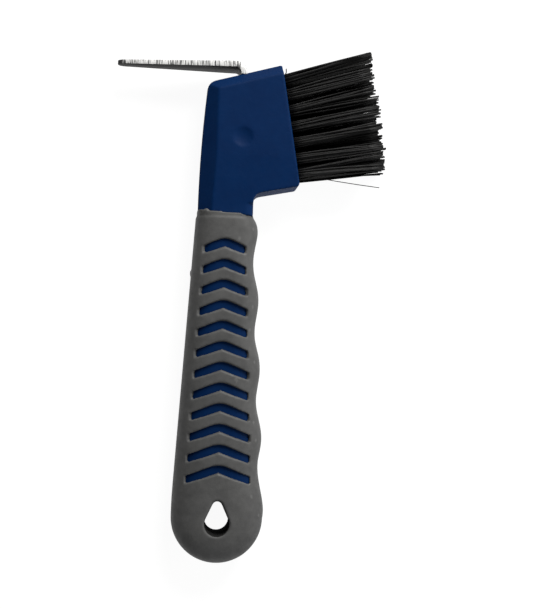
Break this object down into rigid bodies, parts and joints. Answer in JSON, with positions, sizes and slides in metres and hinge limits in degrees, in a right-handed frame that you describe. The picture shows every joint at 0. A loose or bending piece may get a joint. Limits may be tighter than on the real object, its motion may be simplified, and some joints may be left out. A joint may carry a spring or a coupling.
{
  "type": "hoof pick",
  "caption": "Hand tool with a bent steel pick and a stiff brush on a plastic head, and a rubber-covered handle with chevron windows, finger swells and a hanging hole.",
  "frame": {"origin": "on the resting plane, on the axis of the hanging hole's large round end", "axes": "+Y up the handle towards the head, +X towards the brush, +Z normal to the broad faces; the tool lies flat with z = 0 on the table"},
  "size_m": [0.1023, 0.1931, 0.02],
  "materials": {
    "plastic": "moulded polypropylene, dark blue, satin with a fine texture",
    "soft_rubber": "moulded thermoplastic rubber, dark grey, matt",
    "steel": "pressed steel strip with rolled and sheared surfaces",
    "staple_wire": "drawn wire",
    "bristle": "black nylon filament, semi-gloss"
  },
  "bodies": {
    "root": {"handle_core": "plastic", "grip": "soft_rubber", "hook": "steel", "tuft_staples": "staple_wire", "tuft_back_1": "bristle", "tuft_back_2": "bristle", "tuft_back_3": "bristle", "tuft_back_4": "bristle", "tuft_back_5": "bristle", "tuft_back_6": "bristle", "tuft_back_7": "bristle", "tuft_middle_1": "bristle", "tuft_middle_2": "bristle", "tuft_middle_3": "bristle", "tuft_middle_4": "bristle", "tuft_middle_5": "bristle", "tuft_middle_6": "bristle", "tuft_front_1": "bristle", "tuft_front_2": "bristle", "tuft_front_3": "bristle", "tuft_front_4": "bristle", "tuft_front_5": "bristle", "tuft_front_6": "bristle", "tuft_front_7": "bristle"}
  },
  "joints": []
}
